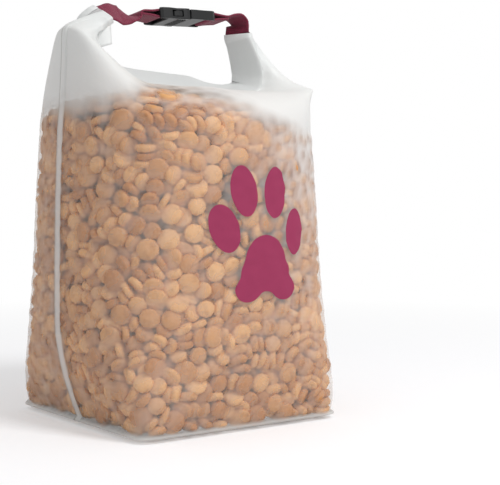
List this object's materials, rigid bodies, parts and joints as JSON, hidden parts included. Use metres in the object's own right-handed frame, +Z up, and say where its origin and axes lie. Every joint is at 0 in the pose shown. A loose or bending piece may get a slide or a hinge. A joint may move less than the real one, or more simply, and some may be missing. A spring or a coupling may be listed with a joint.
{
  "type": "roll-top kibble travel bag",
  "caption": "Frosted film bag full of dry pet food, its mouth rolled down and bent up into two ears that webbing and a side-release buckle join as a handle.",
  "frame": {"origin": "on the table under the middle of the filled bag", "axes": "+Z up; X runs from side weld to side weld along the roll; the printed front faces -Y"},
  "size_m": [0.1892, 0.185, 0.2906],
  "materials": {
    "film": "frosted, see-through",
    "strip": "satin",
    "kibble": "dry, matt, baked",
    "webbing": "woven",
    "buckle": "moulded, satin"
  },
  "bodies": {
    "root": {"bag_film": "film", "rolled_mouth": "film", "mouth_strip": "strip", "kibble_fill": "kibble", "strap_left": "webbing", "strap_right": "webbing", "buckle_socket": "buckle", "buckle_insert": "buckle"}
  },
  "joints": []
}
